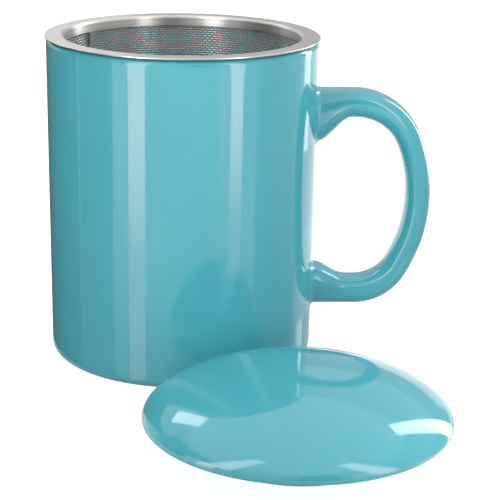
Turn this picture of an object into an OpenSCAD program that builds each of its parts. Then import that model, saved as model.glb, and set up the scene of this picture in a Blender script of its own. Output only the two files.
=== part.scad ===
// Stoneware tea mug with a hanging wire-cloth infuser and a loose domed lid.
// The origin is the centre of the mug's foot, +Z is up and the handle points along +X.

/* [Mug] */
// Outside diameter of the mug at its lip
mug_top_d = 85.1; // [70:0.1:100]
// Outside diameter of the mug at its base
mug_base_d = 84.2; // [70:0.1:100]
// Height from the table to the top of the lip
mug_h = 101.7; // [85:0.1:125]
// Thickness of the side wall
wall_t = 3.8; // [3:0.1:5]
// Height of the inside floor above the table
floor_t = 6; // [4.5:0.1:9]
// Radius round the outer edge of the base
base_round = 3; // [1:0.1:5]
// Radius where the inner wall meets the floor
floor_round = 6; // [2:0.1:10]
// Width of the bare foot face that stands on the table
foot_w = 4; // [2:0.1:8]
// Depth of the recess inside the foot face
foot_recess = 1.6; // [0.5:0.1:2.5]

/* [Handle] */
// Height of the lip above the centre of the top arm
top_arm_drop = 20.2; // [14:0.1:30]
// Height of the centre of the bottom arm above the table
bottom_arm_z = 19.5; // [14:0.1:28]
// Distance from the mug's wall out to the centre of the grip
handle_reach = 33.5; // [28:0.1:42]
// Height of the grip's widest point above the middle of the two arms
grip_lift = 0.7; // [-4:0.1:4]
// Bend radius between the top arm and the grip
top_bend_r = 19.2; // [12:0.1:23]
// Bend radius of the grip
grip_bend_r = 48; // [44:0.5:80]
// Bend radius between the grip and the bottom arm
bottom_bend_r = 15.4; // [12:0.1:23]
// Thickness of the top arm
top_arm_t = 9.1; // [7:0.1:13]
// Thickness of the grip
grip_t = 7.9; // [6:0.1:12]
// Thickness of the bottom arm
bottom_arm_t = 8.9; // [7:0.1:13]
// Width of the handle across the grip
grip_w = 13.5; // [9:0.1:18]
// Width of the handle where it meets the wall
root_w = 16.5; // [10:0.1:22]
// Extra thickness of the top arm at the wall, all on its underside
top_flare = 7.9; // [1:0.1:10]
// Extra thickness of the bottom arm at the wall, all on its upper side
bottom_flare = 4.2; // [1:0.1:8]
// Length over which both arms flare
flare_len = 11.4; // [6:0.1:12]
// Squareness of the oval section, where 2 is a plain ellipse
oval_power = 2.4; // [2:0.1:4]
// Thickness of the slip joint between the handle and the wall
slip_joint = 0.03; // [0.02:0.01:0.1]

/* [Infuser rim] */
// Thickness of the stamped sheet
sheet_t = 0.5; // [0.4:0.05:0.8]
// Distance that the flange stands out past the mug's lip
flange_overhang = 0.45; // [0:0.05:1.5]
// Running clearance under the flange
seat_gap = 0.3; // [0.2:0.05:0.6]
// Radius of the bend between the flange and the collar
collar_bend_r = 1; // [0.9:0.1:2]
// Height of the collar from the flange's top to its lower edge
collar_h = 3.2; // [3:0.1:12]

/* [Infuser cloth] */
// Clearance between the cloth and the mug's inner wall
basket_clear = 0.55; // [0.3:0.05:1]
// Clear height between the basket and the mug's floor
basket_floor_gap = 16.5; // [5:0.5:40]
// Amount that the basket's radius narrows from its rim to its floor, besides the mug's own taper
basket_taper = 1.15; // [1:0.05:3]
// Diameter of each wire
wire_d = 0.32; // [0.3:0.01:0.6]
// Distance between the centres of neighbouring wires
cloth_pitch = 1.6; // [1.5:0.1:5]
// Clearance where wires and sheet meet
weave_gap = 0.02; // [0.01:0.01:0.05]
// Distance between the flange's bend and the ends of the upright wires
cloth_top_gap = 0.5; // [0.2:0.1:1]
// Width of the lapped seam
seam_w = 2.5; // [1.5:0.1:5]
// Thickness of the lapped seam
seam_t = 0.4; // [0.2:0.05:0.8]
// Direction of the seam, seen from above and counted from the handle
seam_angle = 143; // [0:1:359]
// Height of the base band
band_h = 4; // [2:0.1:8]
// Width of the base band's ledge
ledge_w = 3.5; // [2:0.1:8]

/* [Lid] */
// Distance that the lid stands out past the infuser's flange
lid_overhang = 0.8; // [0:0.1:2]
// Height of the lid's upright edge
lid_edge_h = 1; // [0.8:0.1:3]
// Rise of the dome above the lid's edge
dome_h = 14.1; // [8:0.1:20]
// Roundness of the dome's outer curve, where 1 is half an ellipse and 2 is a parabola
dome_power = 1.32; // [1:0.02:2]
// Thickness of the dome at its crown
crown_t = 4.5; // [3:0.1:6]
// Height of the locating ring
ring_h = 7.9; // [3:0.1:9]
// Width of the locating ring
ring_w = 3.2; // [2:0.1:5]
// Radial play of the locating ring inside the collar
ring_play = 7.5; // [0.5:0.1:10]
// Amount that the locating ring's radius narrows towards its foot
ring_draft = 1.5; // [0:0.1:2]
// Distance between the lid's edge and the flange as the lid lies beside the mug
lid_apart = 0.6; // [0.5:0.1:60]
// Direction in which the lid lies, seen from above and counted from the handle
lid_angle = -68; // [-120:0.5:-60]

/* [Hidden] */
$fn = 96;

glaze = "#62b6c3";
steel = "#c9c8c6";
wire = "#a9adad";

// Steps round a quarter of a rounded edge, and round the dome
edge_steps = 8;
dome_steps = 24;
// Flats round the section of a bent wire
wire_flats = 8;

// Mug: the wall leans out a little, so its radius depends on the height
mug_top_r = mug_top_d / 2;
mug_base_r = mug_base_d / 2;
lip_r = wall_t / 2;
function outer_r(z) = mug_base_r + (mug_top_r - mug_base_r) * z / mug_h;
function inner_r(z) = outer_r(z) - wall_t;

// Handle: three bends that run tangent into each other, between two level arms
top_arm_z = mug_h - top_arm_drop;
grip_x = mug_top_r + handle_reach;
grip_z = (top_arm_z + bottom_arm_z) / 2 + grip_lift;
grip_centre_x = grip_x - grip_bend_r;
function bend_x(bend_r, rise) = grip_centre_x + sqrt(pow(grip_bend_r - bend_r, 2) - pow(rise, 2));
top_bend_z = top_arm_z - top_bend_r;
top_bend_x = bend_x(top_bend_r, top_bend_z - grip_z);
bottom_bend_z = bottom_arm_z + bottom_bend_r;
bottom_bend_x = bend_x(bottom_bend_r, bottom_bend_z - grip_z);
grip_start = atan2(top_bend_z - grip_z, top_bend_x - grip_centre_x);
grip_end = atan2(bottom_bend_z - grip_z, bottom_bend_x - grip_centre_x);
// The arms start inside the wall, and the wall's own surface trims them
root_x = mug_base_r - root_w / 4;
arm_rings = 10;
bend_rings = 12;
oval_steps = 24;

// Basket: it is lifted out through the mouth, and hangs clear of the wall beside it, so its
// radius follows whichever of the two is tighter, and narrows a little more towards the floor
flange_top_z = mug_h + seat_gap + sheet_t;
basket_z = floor_t + basket_floor_gap;
basket_h = flange_top_z - basket_z;
wire_step = wire_d + weave_gap;
function way_r(z) = min(inner_r(z), inner_r(mug_h));
function basket_r(z) =
    way_r(z) - basket_clear - 2 * wire_step - basket_taper * (flange_top_z - z) / basket_h;
function upright_r(z) = basket_r(z) + weave_gap + wire_d / 2;
cloth_top_z = flange_top_z - collar_bend_r - cloth_top_gap;
cloth_h = cloth_top_z - basket_z;
wire_lean = atan((upright_r(cloth_top_z) - upright_r(basket_z)) / cloth_h);

// Infuser rim: the collar stands inside the cloth, and the flange lies over the lip
flange_r = mug_top_r + flange_overhang;
collar_r = basket_r(flange_top_z);
collar_low_z = flange_top_z - collar_h;
edge_r = sheet_t / 2;
upright_count = round(2 * PI * upright_r(cloth_top_z) / cloth_pitch);
hoop_count = floor(cloth_h / cloth_pitch);
band_top_z = basket_z + band_h;
seam_gap = 0.1;

// Floor cloth: two layers of straight wires that lie on the band's ledge
floor_r = basket_r(basket_z) - sheet_t - weave_gap - wire_d / 2;
floor_low_z = basket_z + sheet_t + weave_gap + wire_d / 2;
floor_high_z = floor_low_z + wire_step;
floor_count = floor(2 * (floor_r - wire_d) / cloth_pitch);

// Lid: it lies on its locating ring, its edge clear of the flange
lid_r = flange_r + lid_overhang;
lid_round = lid_edge_h / 2;
ring_r = collar_r - sheet_t - ring_play;
ring_foot_r = ring_r - ring_draft;
hollow_r = ring_foot_r - ring_w;
crown_z = ring_h + lid_edge_h + dome_h;
hollow_h = crown_z - crown_t - ring_h;
lid_distance = flange_r + lid_r + lid_apart;

// Points of an arc in a profile, from one angle to another
function arc(x, z, r, from, to, steps) = [
    for (i = [0 : steps]) let (a = from + (to - from) * i / steps) [x + r * cos(a), z + r * sin(a)]
];

// The dome's outer curve in a profile, from the lid's edge to its crown
function dome_arc(z, rx, rz, steps) = [
    for (i = [0 : steps]) let (a = 90 * i / steps) [rx * cos(a), z + rz * pow(sin(a), dome_power)]
];

// One quarter of an ellipse in a profile, from one angle to another
function oval_arc(z, rx, rz, from, to, steps) = [
    for (i = [0 : steps]) let (a = from + (to - from) * i / steps) [rx * cos(a), z + rz * sin(a)]
];

module mug_body() {
    lip_z = mug_h - lip_r;
    corner_z = floor_t + floor_round;
    foot_r = outer_r(base_round) - base_round;
    foot_in_r = foot_r - foot_w;
    color(glaze) rotate_extrude() polygon(concat(
        [[0, foot_recess], [foot_in_r - foot_recess, foot_recess], [foot_in_r, 0]],
        arc(foot_r, base_round, base_round, -90, 0, edge_steps),
        arc(outer_r(lip_z) - lip_r, lip_z, lip_r, 0, 180, 2 * edge_steps),
        arc(inner_r(corner_z) - floor_round, corner_z, floor_round, 0, -90, edge_steps),
        [[0, floor_t]]
    ));
}

// Share of the full flare at a distance from the mug's axis: 1 at the wall, 0 along the loop
function flare(x) =
    let (u = (x - mug_top_r) / flare_len)
    u <= 0 ? 1 : u >= 1 ? 0 : (1 + cos(180 * u)) / 2;

// Centreline of the handle as [x, z, direction of the outer side]
function bend(x, z, r, from, to) = [
    for (i = [1 : bend_rings]) let (a = from + (to - from) * i / bend_rings)
        [x + r * cos(a), z + r * sin(a), a]
];
handle_line = concat(
    [for (i = [0 : arm_rings]) [root_x + (top_bend_x - root_x) * i / arm_rings, top_arm_z, 90]],
    bend(top_bend_x, top_bend_z, top_bend_r, 90, grip_start),
    bend(grip_centre_x, grip_z, grip_bend_r, grip_start, grip_end),
    bend(bottom_bend_x, bottom_bend_z, bottom_bend_r, grip_end, -90),
    [for (i = [1 : arm_rings]) [bottom_bend_x + (root_x - bottom_bend_x) * i / arm_rings, bottom_arm_z, -90]]
);

// A value raised to the oval's power with its sign kept
function squared_off(v) = sign(v) * pow(abs(v), 2 / oval_power);

// The oval section across one point of the centreline
function handle_section(p) =
    let (
        upper = p[2] > 0,
        share = flare(p[0]),
        extra = share * (upper ? top_flare : bottom_flare),
        arm_t = upper ? top_arm_t : bottom_arm_t,
        t = grip_t + (arm_t - grip_t) * pow(sin(p[2]), 2) + extra,
        w = grip_w + (root_w - grip_w) * share
    )
    [for (i = [0 : oval_steps - 1]) let (
        a = 360 * i / oval_steps,
        out = t / 2 * squared_off(cos(a)) - extra / 2
    ) [p[0] + out * cos(p[2]), w / 2 * squared_off(sin(a)), p[1] + out * sin(p[2])]];

module handle_loop() {
    rings = len(handle_line);
    last = (rings - 1) * oval_steps;
    polyhedron(
        points = [for (p = handle_line) each handle_section(p)],
        faces = concat(
            [[for (i = [0 : oval_steps - 1]) i]],
            [for (j = [0 : rings - 2], i = [0 : oval_steps - 1]) let (k = (i + 1) % oval_steps)
                [j * oval_steps + k, j * oval_steps + i, (j + 1) * oval_steps + i]],
            [for (j = [0 : rings - 2], i = [0 : oval_steps - 1]) let (k = (i + 1) % oval_steps)
                [j * oval_steps + k, (j + 1) * oval_steps + i, (j + 1) * oval_steps + k]],
            [[for (i = [oval_steps - 1 : -1 : 0]) last + i]]
        )
    );
}

module mug_handle() {
    color(glaze) difference() {
        handle_loop();
        cylinder(h = mug_h, r1 = mug_base_r + slip_joint, r2 = mug_top_r + slip_joint);
    }
}

module infuser_rim() {
    bend_x = collar_r - sheet_t + collar_bend_r;
    bend_z = flange_top_z - collar_bend_r;
    color(steel) rotate_extrude() polygon(concat(
        arc(flange_r - edge_r, flange_top_z - edge_r, edge_r, -90, 90, edge_steps),
        arc(bend_x, bend_z, collar_bend_r, 90, 180, edge_steps),
        [[basket_r(collar_low_z) - sheet_t, collar_low_z], [basket_r(collar_low_z), collar_low_z]],
        arc(bend_x, bend_z, collar_bend_r - sheet_t, 180, 90, edge_steps)
    ));
}

module infuser_side_uprights() {
    color(wire) for (i = [0 : upright_count - 1])
        rotate([0, 0, 360 * i / upright_count])
            translate([upright_r(basket_z), 0, basket_z])
                rotate([0, wire_lean, 0])
                    cylinder(h = cloth_h / cos(wire_lean), d = wire_d, $fn = 16);
}

// One hoop of wire, centred on the basket's axis
module hoop(r, z) {
    rotate_extrude() translate([r, z]) circle(d = wire_d, $fn = wire_flats);
}

// Hoops run outside and inside the uprights by turns, and stop short of the collar and the band
module infuser_side_hoops() {
    color(wire) for (i = [0 : hoop_count - 1]) {
        z = cloth_top_z - cloth_pitch * (i + 0.5);
        if (i % 2 == 0)
            hoop(upright_r(z) + wire_step, z);
        else if (z > band_top_z + wire_step && z < collar_low_z - wire_step)
            hoop(upright_r(z) - wire_step, z);
    }
}

module infuser_side_seam() {
    low_z = band_top_z + seam_gap;
    high_z = collar_low_z - seam_gap;
    half_angle = seam_w / collar_r * 90 / PI;
    color(steel) rotate([0, 0, seam_angle - half_angle])
        rotate_extrude(angle = 2 * half_angle) polygon([
            [basket_r(low_z) - wire_step - seam_t, low_z],
            [basket_r(low_z) - wire_step, low_z],
            [basket_r(high_z) - wire_step, high_z],
            [basket_r(high_z) - wire_step - seam_t, high_z]
        ]);
}

module infuser_base_band() {
    r = basket_r(basket_z);
    color(steel) rotate_extrude() polygon(concat(
        [[r - ledge_w, basket_z]],
        arc(r - sheet_t, basket_z + sheet_t, sheet_t, -90, 0, edge_steps),
        [
            [basket_r(band_top_z), band_top_z],
            [basket_r(band_top_z) - sheet_t, band_top_z],
            [r - sheet_t, basket_z + sheet_t],
            [r - ledge_w, basket_z + sheet_t]
        ]
    ));
}

// One layer of parallel wires across the floor, at one height
module floor_wires(z) {
    color(wire) for (i = [0 : floor_count - 1]) {
        y = (i - (floor_count - 1) / 2) * cloth_pitch;
        half = sqrt(pow(floor_r, 2) - pow(abs(y) + wire_d / 2, 2));
        translate([-half, y, z]) rotate([0, 90, 0]) cylinder(h = 2 * half, d = wire_d, $fn = 16);
    }
}

module infuser_floor_wires_x() {
    floor_wires(floor_low_z);
}

module infuser_floor_wires_y() {
    rotate([0, 0, 90]) floor_wires(floor_high_z);
}

module lid() {
    edge_z = ring_h + lid_edge_h;
    color(glaze) rotate([0, 0, lid_angle]) translate([lid_distance, 0, 0]) rotate_extrude() polygon(concat(
        [[hollow_r, 0], [ring_foot_r, 0], [ring_r, ring_h]],
        arc(lid_r - lid_round, ring_h + lid_round, lid_round, -90, 0, edge_steps),
        dome_arc(edge_z, lid_r, dome_h, dome_steps),
        oval_arc(ring_h, hollow_r, hollow_h, 90, 0, dome_steps)
    ));
}

mug_body();
mug_handle();
infuser_rim();
infuser_side_uprights();
infuser_side_hoops();
infuser_side_seam();
infuser_base_band();
infuser_floor_wires_x();
infuser_floor_wires_y();
lid();
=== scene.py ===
"""Looks of a glazed stoneware tea mug, its hanging wire-cloth infuser and its loose domed lid."""

import logging
import math
from collections.abc import Callable, Iterable
from dataclasses import dataclass
from enum import Enum
from typing import Any

import bpy
from mathutils import Matrix, Vector


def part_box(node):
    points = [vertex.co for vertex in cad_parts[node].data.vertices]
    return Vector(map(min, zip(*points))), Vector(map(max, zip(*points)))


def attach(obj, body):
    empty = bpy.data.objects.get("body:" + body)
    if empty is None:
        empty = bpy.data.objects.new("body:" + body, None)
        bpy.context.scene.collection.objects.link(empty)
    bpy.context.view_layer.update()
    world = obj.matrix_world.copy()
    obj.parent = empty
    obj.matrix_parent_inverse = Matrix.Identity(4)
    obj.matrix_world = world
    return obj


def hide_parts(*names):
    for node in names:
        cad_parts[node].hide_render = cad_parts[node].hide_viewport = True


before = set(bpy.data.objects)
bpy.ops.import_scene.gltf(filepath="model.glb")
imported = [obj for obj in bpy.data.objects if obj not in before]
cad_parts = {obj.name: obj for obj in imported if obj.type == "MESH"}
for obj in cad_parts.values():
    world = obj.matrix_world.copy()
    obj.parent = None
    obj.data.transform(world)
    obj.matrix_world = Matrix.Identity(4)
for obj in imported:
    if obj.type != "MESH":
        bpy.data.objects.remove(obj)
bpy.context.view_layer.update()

LOG = logging.getLogger("tea_mug")
MM = 0.001
Point = tuple[float, float]


# ---------------------------------------------------------------- Small helpers


def linear(hex_colour: str) -> tuple[float, float, float, float]:
    """Turns an sRGB hex colour into the linear colour that a shader takes.

    Args:
        hex_colour: The colour, such as "#60b4c0".

    Returns:
        Linear red, green, blue and an alpha of 1.
    """
    channels = [int(hex_colour[i:i + 2], 16) / 255 for i in (1, 3, 5)]
    r, g, b = (c / 12.92 if c <= 0.04045 else ((c + 0.055) / 1.055) ** 2.4 for c in channels)
    return r, g, b, 1.0


def per_metre(size_mm: float) -> float:
    """Returns the scale of a texture whose features are size_mm across, in Object coordinates."""
    return 1 / (size_mm * MM)


def add_node(tree: bpy.types.NodeTree, kind: str, settings: dict[str, Any] | None = None,
             links: dict[Any, Any] | None = None) -> bpy.types.Node:
    """Adds a shader node, sets it up and links its inputs.

    Args:
        tree: The node tree that gets the node.
        kind: The node's type, such as "ShaderNodeTexNoise".
        settings: Values of the node's own properties.
        links: For each input, by name or number, a value or the output that feeds it.

    Returns:
        The new node.
    """
    node = tree.nodes.new(kind)
    for key, value in (settings or {}).items():
        setattr(node, key, value)
    for key, value in (links or {}).items():
        if isinstance(value, bpy.types.NodeSocket):
            tree.links.new(value, node.inputs[key])
        else:
            node.inputs[key].default_value = value
    return node


def new_material(name: str) -> tuple[bpy.types.Material, bpy.types.NodeTree]:
    """Starts a material that is built from nodes.

    Args:
        name: The material's name.

    Returns:
        The material and its node tree.
    """
    material = bpy.data.materials.new(name)
    material.use_nodes = True
    return material, material.node_tree


def arc(r: float, z: float, radius: float, start: float, end: float, steps: int) -> list[Point]:
    """Returns the points of an arc in a turned profile.

    Args:
        r: Distance of the arc's centre from the axis.
        z: Height of the arc's centre.
        radius: The arc's radius.
        start: First angle in degrees, where 0 points away from the axis.
        end: Last angle in degrees.
        steps: Number of straight steps.

    Returns:
        Points as (distance from the axis, height).
    """
    return oval(r, z, radius, radius, start, end, steps)


def oval(r: float, z: float, half_w: float, half_h: float, start: float, end: float,
         steps: int) -> list[Point]:
    """Returns the points of a stretch of an upright ellipse in a turned profile.

    Args:
        r: Distance of the ellipse's centre from the axis.
        z: Height of the ellipse's centre.
        half_w: Half of the ellipse's width.
        half_h: Half of the ellipse's height.
        start: First angle in degrees, where 0 points away from the axis.
        end: Last angle in degrees.
        steps: Number of straight steps.

    Returns:
        Points as (distance from the axis, height).
    """
    angles = [math.radians(start + (end - start) * i / steps) for i in range(steps + 1)]
    return [(r + half_w * math.cos(a), z + half_h * math.sin(a)) for a in angles]


def run(low: Point, high: Point, loop_gap: float) -> list[Point]:
    """Returns the ends of a straight stretch with a holding loop close to each end.

    The loops keep smooth shading on the straight stretch from being pulled by the rounds
    beside it.

    Args:
        low: The first end.
        high: The last end.
        loop_gap: Distance of each loop from its end.

    Returns:
        Four points from the first end to the last.
    """
    length = math.hypot(high[0] - low[0], high[1] - low[1])
    share = min(loop_gap / length, 0.4)

    def between(t: float) -> Point:
        """Returns the point at a share t of the way."""
        return low[0] + (high[0] - low[0]) * t, low[1] + (high[1] - low[1]) * t

    return [low, between(share), between(1 - share), high]


def start_piece(name: str, add: Callable[..., Any], **sizes: Any) -> bpy.types.Object:
    """Adds a primitive with nothing else selected, and opens it in edit mode.

    Args:
        name: The piece's name.
        add: The operator that adds the primitive.
        **sizes: The operator's arguments.

    Returns:
        The new object, in edit mode and selected all over.
    """
    bpy.ops.object.select_all(action="DESELECT")
    add(**sizes)
    piece = bpy.context.object
    piece.name = piece.data.name = name
    bpy.ops.object.transform_apply(location=True, rotation=True, scale=True)
    bpy.ops.object.mode_set(mode="EDIT")
    bpy.ops.mesh.select_all(action="SELECT")
    return piece


def select_points(piece: bpy.types.Object, keep: Callable[[bpy.types.MeshVertex], bool]) -> None:
    """Selects a piece's points by a test, and leaves the piece in edit mode.

    Args:
        piece: The piece that is being edited.
        keep: The test of one point.
    """
    bpy.ops.mesh.select_all(action="DESELECT")
    bpy.ops.mesh.select_mode(type="VERT")
    bpy.ops.object.mode_set(mode="OBJECT")
    for vertex in piece.data.vertices:
        vertex.select = keep(vertex)
    bpy.ops.object.mode_set(mode="EDIT")


def end_piece(piece: bpy.types.Object, smooth_angle: float = 180) -> None:
    """Points the faces outwards, leaves edit mode and smooths the shading.

    Args:
        piece: The piece that is being edited.
        smooth_angle: Edges that turn by more than this many degrees stay sharp.
    """
    bpy.ops.mesh.select_all(action="SELECT")
    bpy.ops.mesh.normals_make_consistent(inside=False)
    bpy.ops.object.mode_set(mode="OBJECT")
    if smooth_angle >= 180:
        bpy.ops.object.shade_smooth()
    else:
        bpy.ops.object.shade_smooth_by_angle(angle=math.radians(smooth_angle))


def turn(name: str, profile: list[Point], segments: int, axis: Point = (0.0, 0.0),
         ring: bool = False, smooth_angle: float = 180) -> bpy.types.Object:
    """Turns a profile about an upright axis, one extruded ring after another.

    Args:
        name: The piece's name.
        profile: Points as (distance from the axis, height) in millimetres. Where the piece
            isn't a ring, the first and last lie on the axis.
        segments: Number of segments round the axis.
        axis: Where the axis stands, in millimetres.
        ring: Whether the profile is closed on itself, with the axis outside it.
        smooth_angle: Edges that turn by more than this many degrees stay sharp.

    Returns:
        The turned piece.
    """
    rings = profile if ring else profile[1:-1]
    radius, height = rings[0][0] * MM, rings[0][1] * MM
    piece = start_piece(name, bpy.ops.mesh.primitive_circle_add, vertices=segments,
                        radius=radius, location=(0, 0, height))
    for r, z in rings[1:] + (rings[:1] if ring else []):
        bpy.ops.mesh.extrude_region_move(
            TRANSFORM_OT_translate={"value": (0, 0, z * MM - height)})
        scale = r * MM / radius
        bpy.ops.transform.resize(value=(scale, scale, 1), center_override=(0, 0, z * MM))
        radius, height = r * MM, z * MM
    if ring:
        bpy.ops.mesh.select_all(action="SELECT")
        bpy.ops.mesh.remove_doubles(threshold=1e-7)
    else:
        close_pole(profile[-1][1] * MM - height)
        select_points(piece, lambda v: v.index < segments)
        close_pole((profile[0][1] - rings[0][1]) * MM)
    bpy.ops.mesh.select_all(action="SELECT")
    bpy.ops.transform.translate(value=(axis[0] * MM, axis[1] * MM, 0))
    end_piece(piece, smooth_angle)
    return piece


def close_pole(rise: float) -> None:
    """Closes the selected ring with a fan of faces to a point on the axis.

    Args:
        rise: Height of that point above the ring, in metres.
    """
    bpy.ops.mesh.extrude_region_move(TRANSFORM_OT_translate={"value": (0, 0, rise)})
    bpy.ops.mesh.merge(type="CENTER")


def bare_foot(piece: bpy.types.Object, height: float) -> None:
    """Gives the faces that lie below a height the piece's second material.

    Args:
        piece: The turned piece, standing on the table.
        height: That height in millimetres.
    """
    vertices = piece.data.vertices
    for face in piece.data.polygons:
        if all(vertices[i].co.z < height * MM for i in face.vertices):
            face.material_index = 1


def finish_piece(piece: bpy.types.Object, body: str, nodes: Iterable[str], slot: str,
                 *materials: bpy.types.Material) -> bpy.types.Object:
    """Dresses a piece, lets it stand for its CAD nodes and puts it on its body.

    Args:
        piece: The finished mesh.
        body: The CAD body that it moves with.
        nodes: The CAD nodes that it stands for.
        slot: The record's material slot; not used.
        *materials: The piece's materials, in the order of its faces' material numbers.

    Returns:
        The same piece.
    """
    for material in materials:
        piece.data.materials.append(material)
    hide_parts(*nodes)
    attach(piece, body)
    LOG.info("%s: %d faces, on body %s", piece.name, len(piece.data.polygons), body)
    return piece


# ---------------------------------------------------------------- Finishes


@dataclass(frozen=True)
class Finish:
    """What every finish has: a name, a colour and how it throws light back."""

    name: str
    colour: str
    roughness: float

    def start(self) -> tuple[bpy.types.Material, bpy.types.NodeTree, bpy.types.Node]:
        """Makes a material with this finish's own plain values.

        Returns:
            The material, its node tree and its Principled shader.
        """
        material, tree = new_material(self.name)
        shader = tree.nodes["Principled BSDF"]
        shader.inputs["Base Color"].default_value = linear(self.colour)
        shader.inputs["Roughness"].default_value = self.roughness
        return material, tree, shader

    def noise(self, tree: bpy.types.NodeTree, size_mm: float, detail: float = 2) -> bpy.types.Node:
        """Adds soft noise in Object coordinates.

        Args:
            tree: The material's node tree.
            size_mm: Size of the noise's features in millimetres.
            detail: Number of finer layers on top.

        Returns:
            The noise node.
        """
        place = add_node(tree, "ShaderNodeTexCoord")
        return add_node(tree, "ShaderNodeTexNoise", {}, {
            "Vector": place.outputs["Object"], "Scale": per_metre(size_mm), "Detail": detail})

    def tint(self, tree: bpy.types.NodeTree, shader: bpy.types.Node, factor: bpy.types.NodeSocket,
             other: str) -> None:
        """Lets the colour drift between this finish's own and another.

        Args:
            tree: The material's node tree.
            shader: The Principled shader.
            factor: What drives the drift, from 0 to 1.
            other: The other colour in sRGB hex.
        """
        mix = add_node(tree, "ShaderNodeMix", {"data_type": "RGBA"}, {
            0: factor, 6: linear(self.colour), 7: linear(other)})
        tree.links.new(mix.outputs[2], shader.inputs["Base Color"])

    def bump(self, tree: bpy.types.NodeTree, shader: bpy.types.Node, height: bpy.types.NodeSocket,
             depth_mm: float) -> None:
        """Raises the surface by a texture.

        Args:
            tree: The material's node tree.
            shader: The Principled shader.
            height: The texture's output, from 0 to 1.
            depth_mm: Height of the relief in millimetres.
        """
        relief = add_node(tree, "ShaderNodeBump", {}, {
            "Height": height, "Distance": depth_mm * MM, "Strength": 1.0})
        tree.links.new(relief.outputs["Normal"], shader.inputs["Normal"])


@dataclass(frozen=True)
class StonewareGlaze(Finish):
    """Glossy coloured glaze, dipped and fired: glass over clay, level but never quite flat."""

    thick_colour: str = "#4ba7b5"
    drift_mm: float = 38
    wave_mm: float = 9
    wave_depth_mm: float = 0.012
    glass_ior: float = 1.52

    def make(self) -> bpy.types.Material:
        """Builds the glaze: a slow drift where it ran thicker, and a faint fired ripple.

        Returns:
            The material.
        """
        material, tree, shader = self.start()
        shader.inputs["IOR"].default_value = self.glass_ior
        # Dipped glaze pools a little: the colour is a shade deeper in slow, wide patches
        self.tint(tree, shader, self.noise(tree, self.drift_mm).outputs["Fac"], self.thick_colour)
        # Molten glass sets with long shallow waves, which soften the edges of reflections
        self.bump(tree, shader, self.noise(tree, self.wave_mm, 1).outputs["Fac"],
                  self.wave_depth_mm)
        return material


@dataclass(frozen=True)
class BareStoneware(Finish):
    """Unglazed fired clay of the foot: matt, pale and finely gritty."""

    grit_colour: str = "#b9ab97"
    grit_mm: float = 0.6
    grit_depth_mm: float = 0.03

    def make(self) -> bpy.types.Material:
        """Builds the bare clay with its grit.

        Returns:
            The material.
        """
        material, tree, shader = self.start()
        grit = self.noise(tree, self.grit_mm, 3).outputs["Fac"]
        self.tint(tree, shader, grit, self.grit_colour)
        self.bump(tree, shader, grit, self.grit_depth_mm)
        return material


@dataclass(frozen=True)
class StainlessSheet(Finish):
    """Stamped stainless sheet, finished on a lathe, so its marks run round the axis."""

    shade_colour: str = "#a9a8a6"
    mark_mm: float = 0.35
    mark_depth_mm: float = 0.002
    stretch: float = 0.85

    def make(self) -> bpy.types.Material:
        """Builds the metal with circular finishing marks.

        The real marks are finer than a picture shows, so they are drawn as coarse as they
        need to be to read as a satin grain.

        Returns:
            The material.
        """
        material, tree, shader = self.start()
        shader.inputs["Metallic"].default_value = 1.0
        # Turned marks run round the axis and stretch each reflection a quarter turn from that
        shader.inputs["Anisotropic"].default_value = self.stretch
        shader.inputs["Anisotropic Rotation"].default_value = 0.25
        round_axis = add_node(tree, "ShaderNodeTangent", {"direction_type": "RADIAL", "axis": "Z"})
        tree.links.new(round_axis.outputs[0], shader.inputs["Tangent"])
        place = add_node(tree, "ShaderNodeTexCoord")
        parts = add_node(tree, "ShaderNodeSeparateXYZ", {}, {0: place.outputs["Object"]})
        flat = add_node(tree, "ShaderNodeCombineXYZ", {}, {
            "X": parts.outputs["X"], "Y": parts.outputs["Y"]})
        radius = add_node(tree, "ShaderNodeVectorMath", {"operation": "LENGTH"}, {
            0: flat.outputs[0]})
        across = add_node(tree, "ShaderNodeCombineXYZ", {}, {
            "X": radius.outputs["Value"], "Z": parts.outputs["Z"]})
        marks = add_node(tree, "ShaderNodeTexNoise", {}, {
            "Vector": across.outputs[0], "Scale": per_metre(self.mark_mm), "Detail": 2.0})
        self.tint(tree, shader, marks.outputs["Fac"], self.shade_colour)
        self.bump(tree, shader, marks.outputs["Fac"], self.mark_depth_mm)
        return material


@dataclass(frozen=True)
class DrawnWire(Finish):
    """Bright drawn stainless wire: grey metal, a little uneven from wire to wire."""

    shade_colour: str = "#c4c6c6"
    drift_mm: float = 5
    metal: float = 0.75

    def make(self) -> bpy.types.Material:
        """Builds the wire metal with a drift of tone across the cloth.

        Returns:
            The material.
        """
        material, tree, shader = self.start()
        # The marks of the drawing die scatter a little light, so the wire isn't all mirror
        shader.inputs["Metallic"].default_value = self.metal
        self.tint(tree, shader, self.noise(tree, self.drift_mm).outputs["Fac"], self.shade_colour)
        return material


class Finishes:
    """The materials of the whole object, each made once."""

    def __init__(self) -> None:
        """Makes every material."""
        self.glaze = StonewareGlaze("turquoise_stoneware_glaze", "#53b2be", 0.07).make()
        self.clay = BareStoneware("bare_stoneware", "#d6cab8", 0.85).make()
        self.satin = StainlessSheet(
            "satin_stainless_sheet", "#c9c8c5", 0.24, stretch=0.4).make()
        self.polished = StainlessSheet(
            "polished_stainless_sheet", "#e4dfd9", 0.40, mark_depth_mm=0.0008,
            stretch=0.95).make()
        self.wire = DrawnWire("drawn_stainless_wire", "#e4e6e6", 0.22).make()


# ---------------------------------------------------------------- Mug


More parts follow.
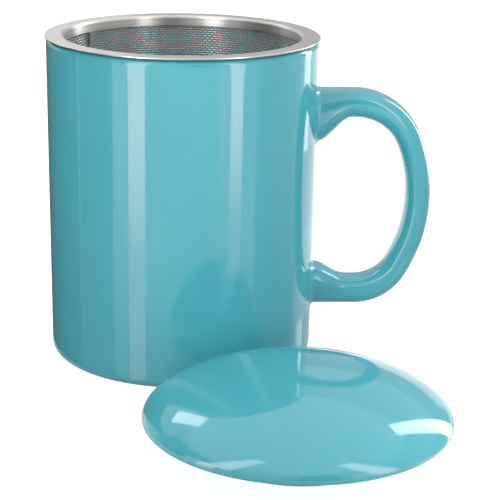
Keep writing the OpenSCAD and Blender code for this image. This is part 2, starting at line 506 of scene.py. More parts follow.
@dataclass
class Mug:
    """The glazed pot and its handle. Sizes in millimetres, as the solids have them."""

    finishes: Finishes
    wall: float = 3.8
    floor: float = 6.0
    taper: float = 0.45
    base_round: float = 3.0
    floor_round: float = 6.0
    foot_width: float = 4.0
    foot_recess: float = 1.6
    bare_height: float = 0.12
    segments: int = 192

    top_arm_drop: float = 20.2
    bottom_arm_height: float = 19.5
    reach: float = 33.5
    grip_lift: float = 0.7
    top_bend: float = 19.2
    grip_bend: float = 48.0
    bottom_bend: float = 15.4
    top_arm_thick: float = 9.1
    grip_thick: float = 7.9
    bottom_arm_thick: float = 8.9
    grip_width: float = 13.5
    root_width: float = 16.5
    top_flare: float = 7.9
    bottom_flare: float = 4.2
    flare_length: float = 11.4
    oval_power: float = 2.4
    slip_fillet: float = 1.4
    section_points: int = 48

    def __post_init__(self) -> None:
        """Takes the pot's overall size from the frame."""
        low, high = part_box("mug_body")
        self.height = (high.z - low.z) / MM
        self.top_radius = high.x / MM
        self.base_radius = self.top_radius - self.taper

    def outer(self, z: float) -> float:
        """Returns the pot's outer radius at a height."""
        return self.base_radius + (self.top_radius - self.base_radius) * z / self.height

    def pot(self) -> bpy.types.Object:
        """Turns the pot, and leaves its foot face bare.

        Returns:
            The pot.
        """
        lip = self.wall / 2
        lip_z = self.height - lip
        corner_z = self.floor + self.floor_round
        foot = self.outer(self.base_round) - self.base_round
        foot_in = foot - self.foot_width
        hold = 1.2
        profile = [(0, self.foot_recess)]
        profile += run((4, self.foot_recess), (foot_in - self.foot_recess, self.foot_recess), hold)
        profile += run((foot_in, 0), (foot, 0), 0.3)[:-1]
        profile += arc(foot, self.base_round, self.base_round, -90, 0, 10)
        profile += run((self.outer(self.base_round), self.base_round),
                       (self.outer(lip_z), lip_z), hold)[1:-1]
        profile += arc(self.outer(lip_z) - lip, lip_z, lip, 0, 180, 18)
        profile += run((self.outer(lip_z) - self.wall, lip_z),
                       (self.outer(corner_z) - self.wall, corner_z), hold)[1:-1]
        profile += arc(self.outer(corner_z) - self.wall - self.floor_round, corner_z,
                       self.floor_round, 0, -90, 10)
        profile += [(4, self.floor), (0, self.floor)]
        piece = turn("pot", profile, self.segments)
        bare_foot(piece, self.bare_height)
        return finish_piece(piece, "mug", ["mug_body"], "turquoise_glaze",
                            self.finishes.glaze, self.finishes.clay)

    def bend(self, x: float, z: float, radius: float, start: float, end: float,
             steps: int) -> list[tuple[float, float, float]]:
        """Returns stations of the handle's centreline along one bend.

        Args:
            x: The bend's centre, outwards from the mug's axis.
            z: The bend's centre, upwards.
            radius: The bend's radius.
            start: First angle in degrees.
            end: Last angle in degrees.
            steps: Number of stations.

        Returns:
            Stations as (x, z, direction of the outer side in degrees).
        """
        angles = [start + (end - start) * (i + 1) / steps for i in range(steps)]
        return [(x + radius * math.cos(math.radians(a)), z + radius * math.sin(math.radians(a)), a)
                for a in angles]

    def arm(self, z: float, end_x: float, side: float) -> list[tuple[float, float, float]]:
        """Returns stations of one level arm, from inside the wall out to its bend.

        Args:
            z: Height of the arm's centre.
            end_x: Where the bend takes over.
            side: Direction of the arm's outer side in degrees.

        Returns:
            Stations as (x, z, direction of the outer side in degrees).
        """
        wall = self.outer(z)
        fillet_steps = [self.slip_fillet * (1 - math.sin(math.radians(a)))
                        for a in (90, 66, 48, 32, 18, 7, 0)]
        near = [wall - self.wall / 2] + [wall + d for d in fillet_steps]
        far_steps = 14
        far = [near[-1] + (end_x - near[-1]) * (i + 1) / far_steps for i in range(far_steps)]
        return [(x, z, side) for x in near + far]

    def centreline(self) -> list[tuple[float, float, float]]:
        """Returns every station of the handle's centreline, from the top arm to the bottom."""
        top_z = self.height - self.top_arm_drop
        grip_x = self.top_radius + self.reach - self.grip_bend
        grip_z = (top_z + self.bottom_arm_height) / 2 + self.grip_lift
        top_c = top_z - self.top_bend
        low_c = self.bottom_arm_height + self.bottom_bend
        top_x = grip_x + math.sqrt((self.grip_bend - self.top_bend) ** 2 - (top_c - grip_z) ** 2)
        low_x = grip_x + math.sqrt((self.grip_bend - self.bottom_bend) ** 2 - (low_c - grip_z) ** 2)
        turn_in = math.degrees(math.atan2(top_c - grip_z, top_x - grip_x))
        turn_out = math.degrees(math.atan2(low_c - grip_z, low_x - grip_x))
        return (self.arm(top_z, top_x, 90)
                + self.bend(top_x, top_c, self.top_bend, 90, turn_in, 22)
                + self.bend(grip_x, grip_z, self.grip_bend, turn_in, turn_out, 20)
                + self.bend(low_x, low_c, self.bottom_bend, turn_out, -90, 22)
                + self.arm(self.bottom_arm_height, low_x, -90)[-2::-1])

    def section(self, station: tuple[float, float, float]) -> tuple[Vector, float, float]:
        """Works out the oval section at one station.

        Args:
            station: The station, as centreline gives it.

        Returns:
            The section's centre, its half thickness and its half width, in metres.
        """
        x, z, side = station
        upper = side > 0
        along = min(max((x - self.top_radius) / self.flare_length, 0), 1)
        share = (1 + math.cos(math.pi * along)) / 2
        extra = share * (self.top_flare if upper else self.bottom_flare)
        arm_thick = self.top_arm_thick if upper else self.bottom_arm_thick
        angle = math.radians(side)
        thick = self.grip_thick + (arm_thick - self.grip_thick) * math.sin(angle) ** 2 + extra
        width = self.grip_width + (self.root_width - self.grip_width) * share
        off_wall = min(max(x - self.outer(z), 0), self.slip_fillet)
        drop = self.slip_fillet - off_wall
        slip = self.slip_fillet - math.sqrt(self.slip_fillet ** 2 - drop ** 2)
        centre = Vector((x - extra / 2 * math.cos(angle), 0, z - extra / 2 * math.sin(angle))) * MM
        return centre, (thick / 2 + slip) * MM, (width / 2 + slip) * MM

    def handle(self) -> bpy.types.Object:
        """Sweeps the oval section round the loop, and leans its ends on the round wall.

        Returns:
            The handle.
        """
        stations = self.centreline()
        centre, half_t, half_w = self.section(stations[0])
        piece = start_piece("handle", bpy.ops.mesh.primitive_circle_add,
                            vertices=self.section_points, radius=1)
        bpy.ops.object.mode_set(mode="OBJECT")
        for vertex in piece.data.vertices:
            side, rise = (math.copysign(abs(c) ** (2 / self.oval_power), c)
                          for c in vertex.co.xy)
            vertex.co = centre + Vector((0, side * half_w, rise * half_t))
        bpy.ops.object.mode_set(mode="EDIT")
        bpy.ops.mesh.select_all(action="SELECT")
        level = 90.0
        for station in stations[1:]:
            new_centre, new_t, new_w = self.section(station)
            bpy.ops.mesh.extrude_region_move(
                TRANSFORM_OT_translate={"value": new_centre - centre})
            self.tilt(level - stations[0][2], new_centre)
            bpy.ops.transform.resize(value=(1, new_w / half_w, new_t / half_t),
                                     center_override=new_centre)
            level = station[2]
            self.tilt(stations[0][2] - level, new_centre)
            centre, half_t, half_w = new_centre, new_t, new_w
        bpy.ops.mesh.select_all(action="SELECT")
        bpy.ops.mesh.fill_holes(sides=self.section_points)
        bpy.ops.object.mode_set(mode="OBJECT")
        for vertex in piece.data.vertices:
            wall = self.outer(vertex.co.z / MM) * MM
            fade = 1 - (vertex.co.x - wall) / (self.flare_length * MM)
            dip = wall - math.sqrt(wall ** 2 - vertex.co.y ** 2)
            vertex.co.x -= dip * min(max(fade, 0), 1) ** 2
        bpy.ops.object.mode_set(mode="EDIT")
        end_piece(piece)
        return finish_piece(piece, "mug", ["mug_handle"], "turquoise_glaze", self.finishes.glaze)

    def tilt(self, degrees: float, centre: Vector) -> None:
        """Tilts the selected section about the mug's sideways axis.

        Args:
            degrees: The turn from +X towards -Z.
            centre: The section's centre.
        """
        # With no window the operator turns the other way, hence the minus sign
        bpy.ops.transform.rotate(value=-math.radians(degrees), orient_axis="Y",
                                 center_override=centre)


# ---------------------------------------------------------------- Infuser


class Weave(Enum):
    """Which of two neighbouring wires a wire is: the one that starts outside, or inside."""

    OUTSIDE_FIRST = 1
    INSIDE_FIRST = -1


@dataclass
class Infuser:
    """The stamped rim, the wire-cloth basket and its base. Sizes in millimetres."""

    finishes: Finishes
    sheet: float = 0.5
    collar_radius: float = 37.52
    collar_bend: float = 1.0
    collar_height: float = 3.2
    floor_radius: float = 36.02
    band_height: float = 4.0
    ledge: float = 3.5
    # A crimp swings by wire from one side to the other, and drawn_wire is the thickness across
    # the corners of the wire's section
    wire: float = 0.32
    drawn_wire: float = 0.38
    weave_gap: float = 0.02
    pitch: float = 0.76
    cloth_drop: float = 1.5
    seam_width: float = 2.5
    seam_thick: float = 0.35
    seam_angle: float = 143.0
    seam_end_gap: float = 0.1
    seam_side_gap: float = 0.05
    wire_sides: int = 4
    segments: int = 192

    def __post_init__(self) -> None:
        """Takes the heights and the flange's size from the frame."""
        rim_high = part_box("infuser_rim")[1]
        self.top = rim_high.z / MM
        self.flange_radius = rim_high.x / MM
        self.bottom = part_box("infuser_base_band")[0].z / MM
        self.cloth_top = self.top - self.cloth_drop
        self.rows = int((self.cloth_top - self.bottom) / self.pitch)
        self.uprights = 2 * round(math.pi * self.cloth_radius(self.cloth_top) / self.pitch)

    def side(self, z: float) -> float:
        """Returns the outer radius of the basket's sheet parts at a height."""
        share = (self.top - z) / (self.top - self.bottom)
        return self.collar_radius + (self.floor_radius - self.collar_radius) * share

    def cloth_radius(self, z: float) -> float:
        """Returns the radius of the cloth's middle surface at a height."""
        return self.side(z) + self.wire + self.weave_gap

    def rim(self) -> bpy.types.Object:
        """Turns the rim: a satin flange that bends down into a polished collar.

        Returns:
            The rim.
        """
        edge = self.sheet / 2
        bend_r = self.collar_radius - self.sheet + self.collar_bend
        bend_z = self.top - self.collar_bend
        low = self.top - self.collar_height
        outer_bend = arc(bend_r, bend_z, self.collar_bend, 90, 180, 10)
        inner_bend = arc(bend_r, bend_z, self.collar_bend - self.sheet, 180, 90, 8)
        profile = arc(self.flange_radius - edge, self.top - edge, edge, -90, 90, 10)
        hold = 0.4
        profile += run(profile[-1], outer_bend[0], hold)[1:-1] + outer_bend
        profile += run(outer_bend[-1], (self.side(low) - self.sheet, low), hold)[1:]
        profile += run((self.side(low), low), inner_bend[0], hold)[:-1] + inner_bend
        profile += run(inner_bend[-1], profile[0], hold)[1:-1]
        piece = turn("infuser_rim_sheet", profile, self.segments, ring=True, smooth_angle=40)
        for face in piece.data.polygons:
            on_flange = Vector(face.center.xy).length > (bend_r + 0.05) * MM
            face.material_index = 0 if on_flange else 1
        return finish_piece(piece, "infuser", ["infuser_rim"], "stamped_stainless",
                            self.finishes.satin, self.finishes.polished)

    def base_band(self) -> bpy.types.Object:
        """Turns the L-shaped ring that closes the basket's lower edge.

        Returns:
            The band.
        """
        r, z = self.floor_radius, self.bottom
        high = z + self.band_height
        profile = [(r - self.ledge, z), (r - self.ledge + 0.3, z)]
        profile += arc(r - self.sheet, z + self.sheet, self.sheet, -90, 0, 8)
        profile += [(self.side(high), high), (self.side(high) - self.sheet, high),
                    (r - self.sheet, z + self.sheet), (r - self.ledge, z + self.sheet)]
        piece = turn("infuser_base_ring", profile, self.segments, ring=True, smooth_angle=40)
        return finish_piece(piece, "infuser", ["infuser_base_band"], "stamped_stainless",
                            self.finishes.polished)

    def seam(self) -> bpy.types.Object:
        """Spins the lapped seam, where the ends of the rolled cloth are joined.

        Returns:
            The seam.
        """
        low = self.bottom + self.band_height + self.seam_end_gap
        high = self.top - self.collar_height - self.seam_end_gap
        gap = self.wire + self.seam_side_gap
        half = math.degrees(self.seam_width / self.collar_radius / 2)
        piece = start_piece("infuser_seam_strip", bpy.ops.mesh.primitive_plane_add, size=1)
        bpy.ops.object.mode_set(mode="OBJECT")
        corners = [(low, 1), (low, 0), (high, 1), (high, 0)]
        for vertex, (z, inner) in zip(piece.data.vertices, corners):
            vertex.co = Vector((self.side(z) - gap - inner * self.seam_thick, 0, z)) * MM
        bpy.ops.object.mode_set(mode="EDIT")
        bpy.ops.mesh.select_all(action="SELECT")
        # Spin and rotate both turn the other way with no window
        bpy.ops.transform.rotate(value=-math.radians(self.seam_angle - half), orient_axis="Z",
                                 center_override=(0, 0, 0))
        bpy.ops.mesh.spin(steps=6, angle=-math.radians(2 * half), center=(0, 0, 0),
                          axis=(0, 0, 1))
        bpy.ops.mesh.select_all(action="SELECT")
        bpy.ops.mesh.remove_doubles(threshold=1e-7)
        end_piece(piece, 40)
        return finish_piece(piece, "infuser", ["infuser_side_seam"], "stainless_wire_cloth",
                            self.finishes.wire)

    def upright_wires(self, name: str, weave: Weave) -> bpy.types.Object:
        """Draws one crimped upright wire and copies it to every second place round the basket.

        Args:
            name: The piece's name.
            weave: Whether the wire passes its first hoop outside or inside.

        Returns:
            All the upright wires of that kind.
        """
        half = self.wire / 2 * MM
        heights = [self.bottom + self.pitch * (i + 0.5) for i in range(self.rows)]
        places = [Vector((self.cloth_radius(z) * MM + half * weave.value * (-1) ** i, 0, z * MM))
                  for i, z in enumerate(heights)]
        piece = start_piece(name, bpy.ops.mesh.primitive_circle_add, vertices=self.wire_sides,
                            radius=self.drawn_wire / 2 * MM, location=places[0])
        for last, place in zip(places, places[1:]):
            bpy.ops.mesh.extrude_region_move(TRANSFORM_OT_translate={"value": place - last})
        bpy.ops.mesh.select_all(action="SELECT")
        bpy.ops.mesh.fill_holes(sides=self.wire_sides)
        bpy.ops.mesh.normals_make_consistent(inside=False)
        count = self.uprights // 2
        if weave is Weave.INSIDE_FIRST:
            bpy.ops.transform.rotate(value=-math.tau / self.uprights, orient_axis="Z",
                                     center_override=(0, 0, 0))
        bpy.ops.mesh.spin(steps=count - 1, dupli=True, angle=math.tau * (count - 1) / count,
                          center=(0, 0, 0), axis=(0, 0, 1))
        end_piece(piece)
        return finish_piece(piece, "infuser", ["infuser_side_uprights"], "stainless_wire_cloth",
                            self.finishes.wire)

    def hoop_wires(self, name: str, weave: Weave) -> bpy.types.Object:
        """Crimps one hoop round the uprights and copies it to every second row.

        Args:
            name: The piece's name.
            weave: Whether the hoop passes its first upright outside or inside.

        Returns:
            All the hoops of that kind.
        """
        first = 0 if weave is Weave.INSIDE_FIRST else 1
        heights = [self.bottom + self.pitch * (i + 0.5) for i in range(first, self.rows, 2)]
        radius, half = self.cloth_radius(heights[0]) * MM, self.wire / 2 * MM
        piece = start_piece(name, bpy.ops.mesh.primitive_torus_add, major_radius=radius,
                            minor_radius=self.drawn_wire / 2 * MM, major_segments=self.uprights,
                            minor_segments=self.wire_sides, location=(0, 0, heights[0] * MM))
        for parity in (0, 1):
            select_points(piece, lambda v: v.index // self.wire_sides % 2 == parity)
            scale = 1 + half / radius * weave.value * (-1) ** parity
            bpy.ops.transform.resize(value=(scale, scale, 1), center_override=(0, 0, 0))
        bpy.ops.mesh.select_all(action="SELECT")
        for last, z in zip(heights, heights[1:]):
            bpy.ops.mesh.duplicate_move(TRANSFORM_OT_translate={"value": (0, 0, (z - last) * MM)})
            scale = self.cloth_radius(z) / self.cloth_radius(last)
            bpy.ops.transform.resize(value=(scale, scale, 1), center_override=(0, 0, 0))
        end_piece(piece)
        return finish_piece(piece, "infuser", ["infuser_side_hoops"], "stainless_wire_cloth",
                            self.finishes.wire)

    def floor_wires(self, name: str, node: str, weave: Weave, quarter: bool) -> bpy.types.Object:
        """Lays crimped wires side by side and trims them to the basket's round floor.

        Args:
            name: The piece's name.
            node: The CAD node that they stand for.
            weave: Whether the middle crossing is over or under.
            quarter: Whether the wires are turned a quarter round, to cross the others.

        Returns:
            The wires that run one way.
        """
        half, pitch = self.wire / 2 * MM, self.pitch * MM
        reach = (self.floor_radius - self.sheet - 0.1) * MM
        count = int(reach / pitch)
        level = (self.bottom + self.sheet + self.wire + self.weave_gap) * MM
        piece = start_piece(name, bpy.ops.mesh.primitive_circle_add, vertices=self.wire_sides,
                            radius=self.drawn_wire / 2 * MM, rotation=(0, math.pi / 2, 0))
        start = Vector((-count * pitch, -count * pitch, level + half * weave.value))
        bpy.ops.transform.translate(value=start)
        for i in range(2 * count):
            step = -2 * half * weave.value * (-1) ** i
            bpy.ops.mesh.extrude_region_move(TRANSFORM_OT_translate={"value": (pitch, 0, step)})
        bpy.ops.mesh.select_all(action="SELECT")
        bpy.ops.mesh.duplicate_move(TRANSFORM_OT_translate={"value": (0, pitch, 0)})
        # The neighbour passes over where this one passes under
        bpy.ops.transform.mirror(constraint_axis=(False, False, True),
                                 center_override=(0, 0, level))
        bpy.ops.object.mode_set(mode="OBJECT")
        rows = piece.modifiers.new("rows", "ARRAY")
        rows.count = count
        rows.use_relative_offset = False
        rows.use_constant_offset = True
        rows.constant_offset_displace = (0, 2 * pitch, 0)
        bpy.ops.object.modifier_apply(modifier=rows.name)
        bpy.ops.object.mode_set(mode="EDIT")
        select_points(piece, lambda v: math.hypot(v.co.x, v.co.y) > reach)
        bpy.ops.mesh.delete(type="VERT")
        bpy.ops.mesh.select_all(action="SELECT")
        bpy.ops.mesh.fill_holes(sides=self.wire_sides)
        if quarter:
            bpy.ops.transform.rotate(value=math.pi / 2, orient_axis="Z",
                                     center_override=(0, 0, 0))
        end_piece(piece)
        return finish_piece(piece, "infuser", [node], "stainless_wire_cloth", self.finishes.wire)

    def build(self) -> None:
        """Builds every piece of the infuser."""
        self.rim()
        self.base_band()
        self.seam()
        self.upright_wires("cloth_uprights_a", Weave.OUTSIDE_FIRST)
        self.upright_wires("cloth_uprights_b", Weave.INSIDE_FIRST)
        self.hoop_wires("cloth_hoops_a", Weave.INSIDE_FIRST)
        self.hoop_wires("cloth_hoops_b", Weave.OUTSIDE_FIRST)
        self.floor_wires("cloth_floor_a", "infuser_floor_wires_x", Weave.OUTSIDE_FIRST, False)
        self.floor_wires("cloth_floor_b", "infuser_floor_wires_y", Weave.INSIDE_FIRST, True)


# ---------------------------------------------------------------- Lid


@dataclass
class Lid:
    """The domed lid with its locating ring. Sizes in millimetres, as the solid has them."""

    finishes: Finishes
    edge: float = 1.0
    dome: float = 14.1
    dome_power: float = 1.32
    crown: float = 4.5
    ring_height: float = 7.9
    ring_width: float = 3.2
    ring_radius: float = 29.52
    ring_draft: float = 1.5
    bare_height: float = 0.05
    segments: int = 192

    def dome_curve(self, radius: float, steps: int) -> list[Point]:
        """Returns the dome's outer curve, from the lid's edge to its crown.

        Args:
            radius: The lid's radius.
            steps: Number of straight steps.

        Returns:
            Points as (distance from the axis, height).
        """
        base = self.ring_height + self.edge
        angles = [math.pi / 2 * i / steps for i in range(steps + 1)]
        return [(radius * math.cos(a), base + self.dome * math.sin(a) ** self.dome_power)
                for a in angles]

    def build(self) -> bpy.types.Object:
        """Turns the lid where it lies, and leaves the ring's foot bare.

        Returns:
            The lid.
        """
        low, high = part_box("lid")
        axis = ((low.x + high.x) / 2 / MM, (low.y + high.y) / 2 / MM)
        radius = (high.x - low.x) / 2 / MM
        half_edge = self.edge / 2
        foot = self.ring_radius - self.ring_draft
        hollow = foot - self.ring_width
        hollow_rise = self.edge + self.dome - self.crown
        soft = 0.5
        profile = oval(0, self.ring_height, hollow, hollow_rise, 90, 0, 24)
        profile += [(hollow, soft), (hollow + soft, 0), (foot - soft, 0), (foot, soft)]
        profile += run((foot, soft), (self.ring_radius, self.ring_height), 0.5)[1:]
        profile += run((self.ring_radius, self.ring_height),
                       (radius - half_edge, self.ring_height), 0.8)[1:-1]
        profile += arc(radius - half_edge, self.ring_height + half_edge, half_edge, -90, 0, 8)
        profile += self.dome_curve(radius, 64)[1:]
        piece = turn("domed_lid", profile, self.segments, axis)
        bare_foot(piece, self.bare_height)
        return finish_piece(piece, "lid", ["lid"], "turquoise_glaze",
                            self.finishes.glaze, self.finishes.clay)


# ---------------------------------------------------------------- Studio


@dataclass(frozen=True)
class Softbox:
    """A tall soft lamp that stands on one side of the mug."""

    name: str
    azimuth: float
    distance: float
    width: float
    low: float
    high: float
    radiance: float
    mirrored: bool = True

    def place(self) -> bpy.types.Object:
        """Adds the lamp, upright and facing the mug's axis.

        Returns:
            The lamp.
        """
        angle = math.radians(self.azimuth)
        away = Vector((math.sin(angle), -math.cos(angle), 0))
        tall = self.high - self.low
        lamp = bpy.data.lights.new(self.name, "AREA")
        lamp.shape = "RECTANGLE"
        lamp.size, lamp.size_y = self.width, tall
        lamp.energy = self.radiance * math.pi * self.width * tall
        holder = bpy.data.objects.new(self.name, lamp)
        bpy.context.scene.collection.objects.link(holder)
        holder.location = away * self.distance + Vector((0, 0, (self.low + self.high) / 2))
        holder.rotation_euler = away.to_track_quat("Z", "Y").to_euler()
        holder.visible_camera = False
        holder.visible_glossy = self.mirrored
        return holder


@dataclass(frozen=True)
class Card:
    """A curved card round the mug that only shows in reflections, in metres and degrees.

    Its lower edge lies at the distance foot and its upper edge at the distance head, so that
    it stands upright, leans or lies just above the table.
    """

    name: str
    start: float
    end: float
    foot: float
    head: float
    low: float
    high: float
    tone: float

    def place(self) -> bpy.types.Object:
        """Cuts the card from a tube and stands it round the mug's axis.

        Returns:
            The card.
        """
        card = start_piece(self.name, bpy.ops.mesh.primitive_cone_add, vertices=720,
                           radius1=self.foot, radius2=self.head, depth=self.high - self.low,
                           end_fill_type="NOTHING", location=(0, 0, (self.low + self.high) / 2))
        middle = math.radians((self.start + self.end) / 2)
        half = math.radians((self.end - self.start) / 2)
        facing = Vector((math.sin(middle), -math.cos(middle)))
        select_points(card, lambda v: v.co.xy.angle(facing) > half)
        bpy.ops.mesh.delete(type="VERT")
        bpy.ops.object.mode_set(mode="OBJECT")
        self.adjust(card)
        material, tree = new_material(self.name)
        tree.nodes.clear()
        add_node(tree, "ShaderNodeOutputMaterial", {}, {"Surface": self.surface(tree)})
        card.data.materials.append(material)
        card.visible_camera = card.visible_diffuse = False
        card.visible_transmission = card.visible_shadow = False
        return card

    def adjust(self, card: bpy.types.Object) -> None:
        """Changes the card's shape after it is cut. A plain card keeps it.

        Args:
            card: The card.
        """

    def surface(self, tree: bpy.types.NodeTree) -> bpy.types.NodeSocket:
        """Gives the card one plain tone.

        Args:
            tree: The card's node tree.

        Returns:
            The output that the card shows.
        """
        return add_node(tree, "ShaderNodeEmission", {}, {
            "Color": (1, 1, 1, 1), "Strength": self.tone}).outputs[0]


@dataclass(frozen=True)
class OneSided(Card):
    """A card that glows on its inner side and is clear from its outer side, as a lamp's back is.

    Where it leans outwards, most of the lid lies under it, on its clear side. It fades from
    tone to low_tone towards its lower edge, and that edge may run between azimuths of its
    own, so that the card follows the rays that leave the mug's round wall.
    """

    low_tone: float = 0.0
    foot_range: tuple[float, float] | None = None
    tint: str = "#ffffff"
    fade_share: float = 0.5

    def adjust(self, card: bpy.types.Object) -> None:
        """Turns the lower edge to its own azimuths.

        Args:
            card: The card.
        """
        if self.foot_range is None:
            return
        first, last = self.foot_range
        for vertex in card.data.vertices:
            if vertex.co.z > (self.low + self.high) / 2:
                continue
            azimuth = math.degrees(math.atan2(vertex.co.x, -vertex.co.y))
            share = (azimuth - self.start) % 360 / (self.end - self.start)
            turned = math.radians(first + (last - first) * share)
            vertex.co.x, vertex.co.y = (self.foot * math.sin(turned),
                                        -self.foot * math.cos(turned))

    def surface(self, tree: bpy.types.NodeTree) -> bpy.types.NodeSocket:
        """Gives the card's inner side its fading glow, and leaves its outer side clear.

        Args:
            tree: The card's node tree.

        Returns:
            The output that the card shows.
        """
        place = add_node(tree, "ShaderNodeTexCoord")
        height = add_node(tree, "ShaderNodeSeparateXYZ", {}, {0: place.outputs["Object"]})
        fade = add_node(tree, "ShaderNodeMapRange", {}, {
            "Value": height.outputs["Z"], "From Min": self.low,
            "From Max": self.low + (self.high - self.low) * self.fade_share,
            "To Min": self.low_tone, "To Max": self.tone})
        glow = add_node(tree, "ShaderNodeEmission", {}, {
            "Color": linear(self.tint), "Strength": fade.outputs[0]})
        side = add_node(tree, "ShaderNodeNewGeometry")
        clear = add_node(tree, "ShaderNodeBsdfTransparent")
        return add_node(tree, "ShaderNodeMixShader", {}, {
            0: side.outputs["Backfacing"], 1: clear.outputs[0], 2: glow.outputs[0]}).outputs[0]


@dataclass
class Studio:
    """The camera, the floor and the light, in metres."""

    lens: float = 112.6
    camera_place: tuple[float, float, float] = (0.0, -0.4862, 0.1831)
    pitch: float = 17.24
    yaw: float = 2.612
    roll: float = 1.081
    floor_size: float = 8.0
    table_white: float = 0.88
    table_mirrored: float = 1.00
    # Painted shade: the table's glow in reflections close to the mug's axis
    table_painted_shade: float = 0.30
    table_shade: tuple[float, float] = (0.05, 0.20)

    def camera(self) -> None:
        """Sets up the camera with its pitch down, its turn to the right and its roll."""
        pitch, yaw, roll = (math.radians(a) for a in (self.pitch, self.yaw, self.roll))
        ahead = Vector((math.sin(yaw) * math.cos(pitch), math.cos(yaw) * math.cos(pitch),
                        -math.sin(pitch)))
        level = Vector((math.cos(yaw), -math.sin(yaw), 0))
        upright = level.cross(ahead)
        right = math.cos(roll) * level + math.sin(roll) * upright
        up = -math.sin(roll) * level + math.cos(roll) * upright
        data = bpy.data.cameras.new("camera")
        data.lens, data.sensor_width = self.lens, 36
        data.clip_start = 0.01
        holder = bpy.data.objects.new("camera", data)
        bpy.context.scene.collection.objects.link(holder)
        turn_matrix = Matrix((right, up, -ahead)).transposed().to_4x4()
        holder.matrix_world = Matrix.Translation(self.camera_place) @ turn_matrix
        bpy.context.scene.camera = holder

    def floor(self) -> None:
        """Lays a glossy white table that keeps a soft shadow under the pieces, and a painted shade
        round the mug's axis in reflections.
        """
        table = start_piece("table", bpy.ops.mesh.primitive_plane_add, size=self.floor_size)
        bpy.ops.object.mode_set(mode="OBJECT")
        material, tree = new_material("white_gloss_table")
        shader = tree.nodes["Principled BSDF"]
        shader.inputs["Base Color"].default_value = linear("#b0b0b0")
        shader.inputs["Roughness"].default_value = 0.06
        shader.inputs["Emission Color"].default_value = (1, 1, 1, 1)
        # White to the eye and in reflections, and a plain pale table to the light it throws up.
        # In reflections its own light and the lamps' light on it add up to white together, and
        # its own light is turned down close to the mug's axis: painted shade, set by distance
        # alone.
        path = add_node(tree, "ShaderNodeLightPath")
        place = add_node(tree, "ShaderNodeTexCoord")
        distance = add_node(tree, "ShaderNodeVectorMath", {"operation": "LENGTH"}, {
            0: place.outputs["Object"]})
        # Painted shadow round the mug's axis, in the table's glow that reflections show
        tone = add_node(tree, "ShaderNodeMapRange", {}, {
            "Value": distance.outputs["Value"], "From Min": self.table_shade[0],
            "From Max": self.table_shade[1], "To Min": self.table_painted_shade,
            "To Max": self.table_mirrored})
        mirrored = add_node(tree, "ShaderNodeMath", {"operation": "MULTIPLY"}, {
            0: self.seen(tree), 1: tone.outputs[0]})
        white = add_node(tree, "ShaderNodeMix", {"data_type": "FLOAT"}, {
            0: path.outputs["Is Camera Ray"], 2: mirrored.outputs[0], 3: self.table_white})
        tree.links.new(white.outputs[0], shader.inputs["Emission Strength"])
        table.data.materials.append(material)

    def seen(self, tree: bpy.types.NodeTree) -> bpy.types.NodeSocket:
        """Tells rays that show a surface from rays that only carry soft light.

        Args:
            tree: The node tree of the floor or the air.

        Returns:
            An output that is 1 for camera, glossy and transmission rays, and 0 for others.
        """
        path = add_node(tree, "ShaderNodeLightPath")
        shown = add_node(tree, "ShaderNodeMath", {"operation": "MAXIMUM"}, {
            0: path.outputs["Is Camera Ray"], 1: path.outputs["Is Glossy Ray"]})
        return add_node(tree, "ShaderNodeMath", {"operation": "MAXIMUM"}, {
            0: shown.outputs[0], 1: path.outputs["Is Transmission Ray"]}).outputs[0]

    def room(self) -> None:
        """Lights the air around: white to the camera, darker on the left than on the right."""
        world = bpy.data.worlds.new("studio")
        bpy.context.scene.world = world
        world.use_nodes = True
        tree = world.node_tree
        tree.nodes.clear()
        place = add_node(tree, "ShaderNodeTexCoord")
        parts = add_node(tree, "ShaderNodeSeparateXYZ", {}, {0: place.outputs["Generated"]})
        sideways = add_node(tree, "ShaderNodeMapRange", {}, {
            "Value": parts.outputs["X"], "From Min": -0.5, "From Max": 0.4,
            "To Min": 0.06, "To Max": 0.22})
        overhead = add_node(tree, "ShaderNodeMapRange", {}, {
            "Value": parts.outputs["Z"], "From Min": 0.35, "From Max": 0.9,
            "To Min": 0.0, "To Max": 0.42})
        level = add_node(tree, "ShaderNodeMath", {"operation": "ADD"}, {
            0: sideways.outputs[0], 1: overhead.outputs[0]})
        strength = add_node(tree, "ShaderNodeMix", {"data_type": "FLOAT"}, {
            0: self.seen(tree), 2: level.outputs[0], 3: 1.0})
        air = add_node(tree, "ShaderNodeBackground", {}, {
            "Color": (1, 1, 1, 1), "Strength": strength.outputs[0]})
        add_node(tree, "ShaderNodeOutputWorld", {}, {"Surface": air.outputs[0]})

    def lamps(self) -> None:
        """Stands the softboxes round the mug."""
        for box in (
            Softbox("softbox_front_left", -35.0, 0.220, 0.054, 0.0, 0.40, 5.9, mirrored=False),
            Softbox("softbox_front_right", 41.0, 0.250, 0.057, 0.0, 0.40, 5.9, mirrored=False),
            Softbox("softbox_back_right", 127.5, 0.950, 0.200, 0.0, 1.20, 7.2),
            Softbox("softbox_back_left", -142.0, 0.900, 0.170, 0.60, 1.38, 5.0),
        ):
            box.place()

    def cards(self) -> None:
        """Stands the cards that glaze and steel reflect: dark, grey, and bright by the lamps, all
        painted reflections that light and shade nothing.
        """
        warm = "#ffe0d7"
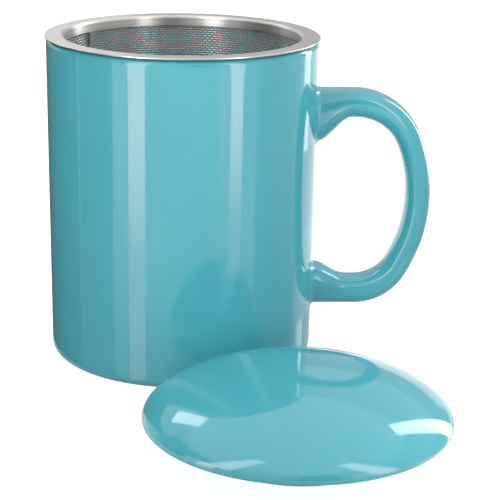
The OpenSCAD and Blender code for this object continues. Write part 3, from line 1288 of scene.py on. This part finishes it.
        # Foot, head, low and high of the cards that lean out from the pot's foot
        leaning = (0.044, 0.160, 0.001, 0.105)
        # Every card is a painted reflection: dark ones paint shade and bright ones paint glare,
        # only in glaze and steel
        for card in (
            OneSided("card_low_back_left", -176.0, -86.0, *leaning, 0.10, 0.10, (-120.0, -48.7)),
            OneSided("card_low_left", -86.0, -52.0, *leaning, 0.35, 0.35, (-48.7, -30.0)),
            Card("card_overhead", -180.0, 180.0, 1.000, 0.050, 1.00, 1.30, 1.6),
            OneSided("card_low_right", 55.0, 104.0, *leaning, 1.2, 0.35, (33.5, 60.0),
                     fade_share=0.9),
            Card("card_low_back_right", 109.0, 150.0, 0.160, 0.160, 0.0, 0.036, 1.3),
            Card("card_tall_left", -118.0, -64.0, 0.700, 0.700, 0.11, 0.600, 0.06),
            Card("card_behind_camera", 0.0, 26.0, 0.620, 0.620, 0.10, 0.60, 0.10),
            Card("card_back", 100.0, 183.0, 1.300, 1.300, 0.0, 0.50, 0.60),
            # Painted highlights of the front softboxes, which the glaze and steel see in place of
            # the lamps
            Card("painted_glare_front_left_high", -44.0, -25.5, 0.220, 0.220, 0.088, 0.52, 5.6),
            Card("painted_glare_front_right_high", 36.0, 48.0, 0.250, 0.250, 0.055, 0.34, 5.6),
            OneSided("painted_glare_front_left_low", -41.0, -27.0, 0.180, 0.180, 0.0, 0.085, 7.2, 3.7,
                     tint=warm),
            OneSided("painted_glare_front_right_low", 36.2, 47.0, 0.225, 0.225, 0.0, 0.080, 7.0, 3.0,
                     tint=warm),
            OneSided("wing_front_left", -52.5, -42.5, 0.178, 0.178, 0.0, 0.085, 2.4, 1.5,
                     tint=warm),
            OneSided("wing_front_right", 27.3, 34.7, 0.222, 0.222, 0.0, 0.080, 2.4, 1.5,
                     tint=warm),
            # Painted glare of the front lamps on the table, seen only in the glaze
            OneSided("table_glare_left", -41.0, -27.0, 0.0435, 0.178, 0.0010, 0.0014, 3.0, 2.4,
                     (-22.9, -15.5), warm),
            OneSided("table_glare_right", 35.5, 46.0, 0.0435, 0.223, 0.0010, 0.0014, 2.6, 1.6,
                     (19.2, 25.0), warm),
        ):
            card.place()

    def build(self) -> None:
        """Builds the floor and the light, and sets the plain view transform."""
        self.floor()
        self.room()
        self.lamps()
        self.cards()
        bpy.context.scene.view_settings.view_transform = "Standard"


def main() -> None:
    """Builds the studio and the object."""
    logging.basicConfig(level=logging.INFO, format="%(name)s: %(message)s")
    studio = Studio()
    studio.camera()
    finishes = Finishes()
    mug = Mug(finishes)
    mug.pot()
    mug.handle()
    Infuser(finishes).build()
    Lid(finishes).build()
    studio.build()


if __name__ == "__main__":
    main()
